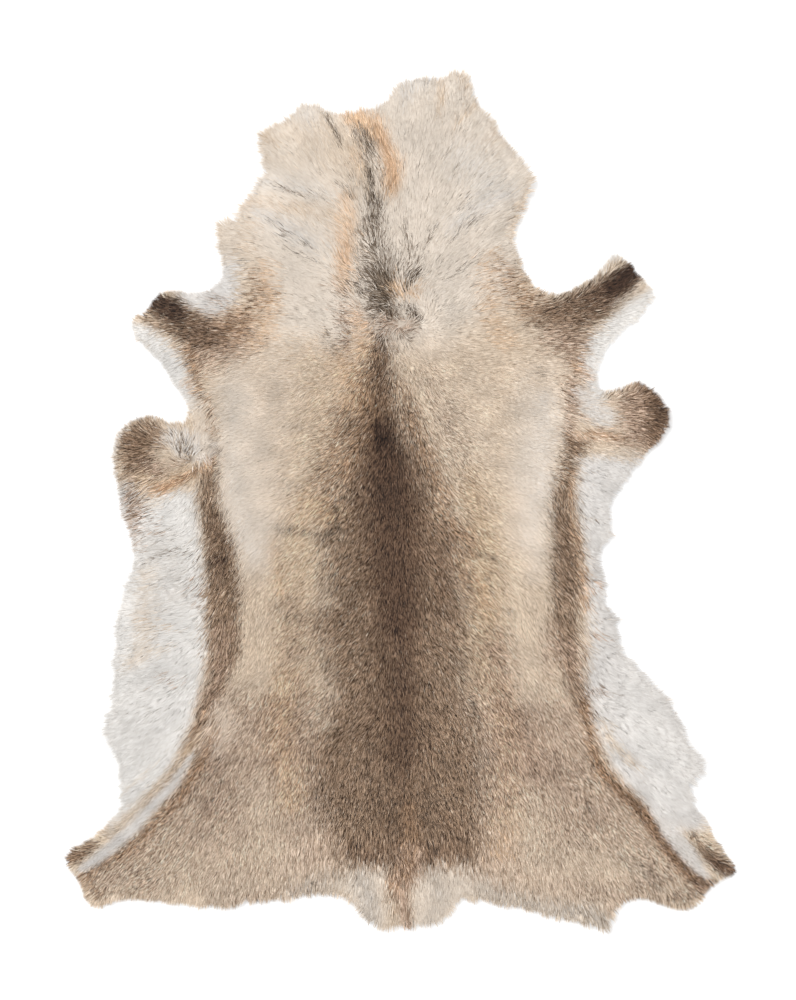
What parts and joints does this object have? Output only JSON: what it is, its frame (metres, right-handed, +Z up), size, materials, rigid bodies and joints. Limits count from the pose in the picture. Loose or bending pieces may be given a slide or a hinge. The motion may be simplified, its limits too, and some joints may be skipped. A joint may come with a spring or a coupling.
{
  "type": "reindeer hide",
  "caption": "Tanned reindeer hide laid flat, hair side up, in one piece with neck, leg flaps, belly borders and tail.",
  "frame": {"origin": "middle of the footprint's bounding rectangle, on the surface the hide lies on", "axes": "+Z up out of the hair side, +Y along the back towards the neck, +X to the right seen from above"},
  "size_m": [0.9414, 1.2012, 0.0265],
  "materials": {
    "coat": "short dense hair, matt to slightly silky, in cream, sandy, grey-brown, dark brown and white",
    "skin": "undyed tanned flesh side, matt and slightly napped"
  },
  "bodies": {
    "root": {"hide": "coat"}
  },
  "joints": []
}
